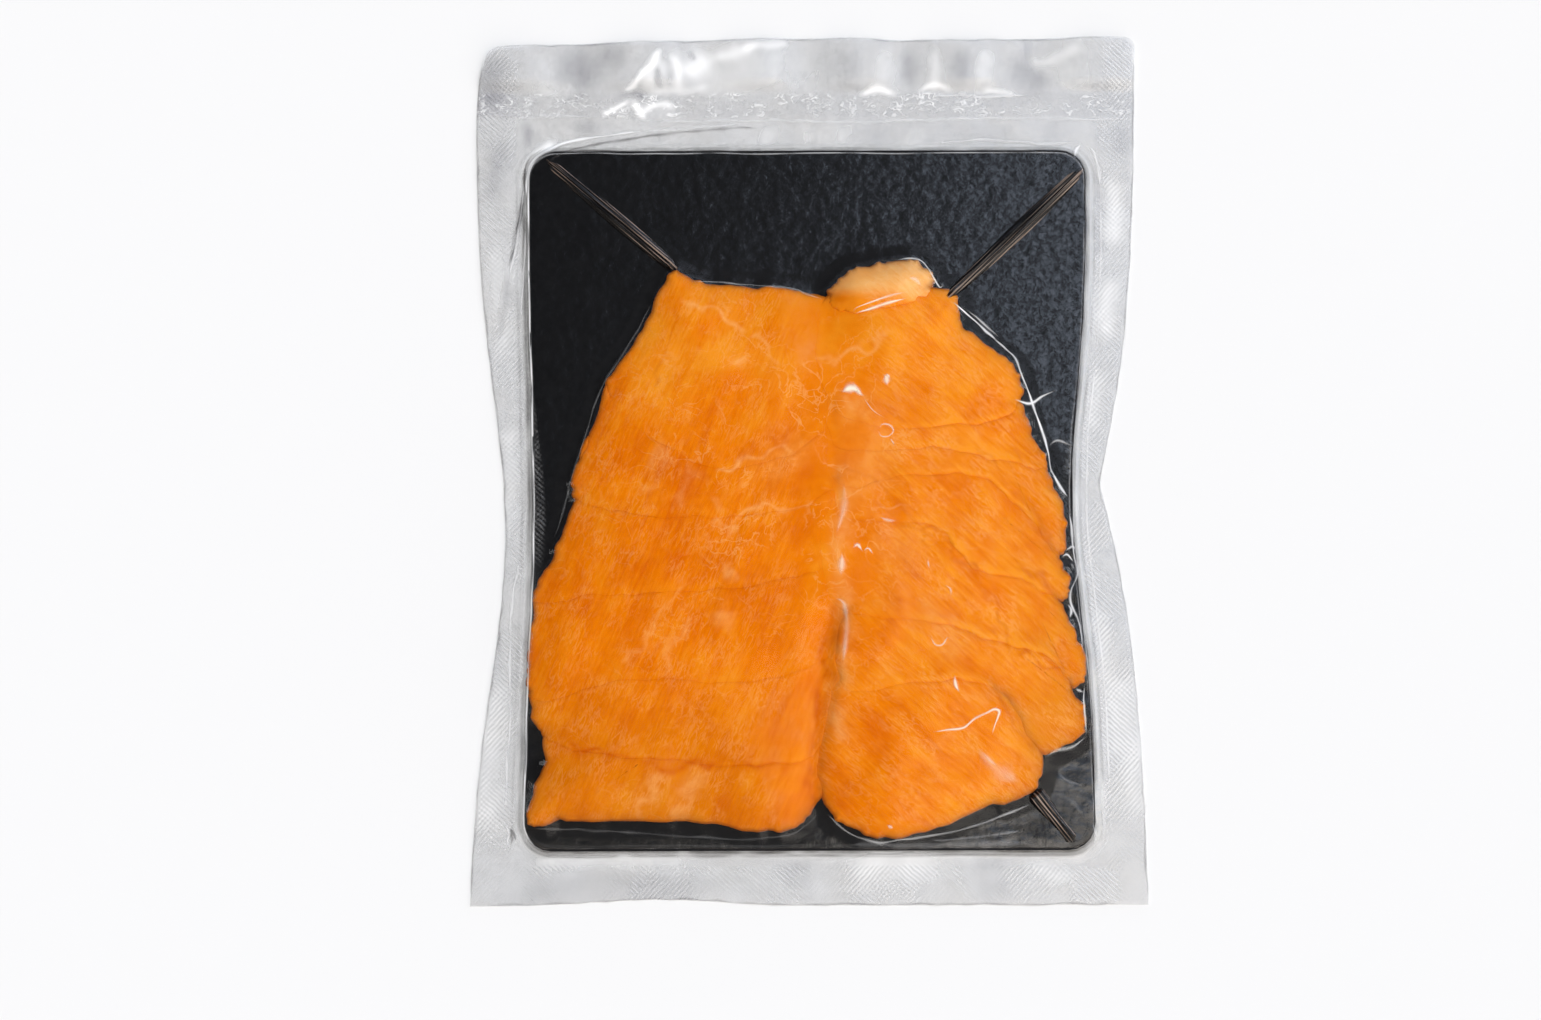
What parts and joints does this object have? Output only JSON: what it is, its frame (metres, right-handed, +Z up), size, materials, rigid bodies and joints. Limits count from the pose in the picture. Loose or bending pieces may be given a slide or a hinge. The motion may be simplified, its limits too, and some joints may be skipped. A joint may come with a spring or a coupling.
{
  "type": "vacuum pack of smoked salmon",
  "caption": "Flat clear vacuum pouch drawn tight over a dark board with two rows of overlapping smoked salmon slices, sealed on all sides, with a loose header above the top seal.",
  "frame": {"origin": "middle of the pouch's footprint, on the surface that the pack lies on", "axes": "+Z up out of the salmon side, +Y from the lower seal to the header, +X to the right as the salmon is looked at"},
  "size_m": [0.1955, 0.255, 0.0123],
  "materials": {
    "board": "black laminated card with a faint mottled sheen",
    "salmon": "moist smoked salmon, deep orange, finely fibrous, with pale membrane lines",
    "salmon_pale": "the paler rolled end of a slice, moist",
    "film": "clear glossy vacuum film, hazy grey with a fine emboss where it is sealed"
  },
  "bodies": {
    "root": {"board": "board", "slice_fold": "salmon_pale", "slice_right_1": "salmon", "slice_right_2": "salmon", "slice_right_3": "salmon", "slice_right_4": "salmon", "slice_right_5": "salmon", "slice_right_6": "salmon", "slice_right_7": "salmon", "slice_left_1": "salmon", "slice_left_2": "salmon", "slice_left_3": "salmon", "slice_left_4": "salmon", "slice_left_5": "salmon", "slice_left_6": "salmon", "pouch": "film"}
  },
  "joints": []
}
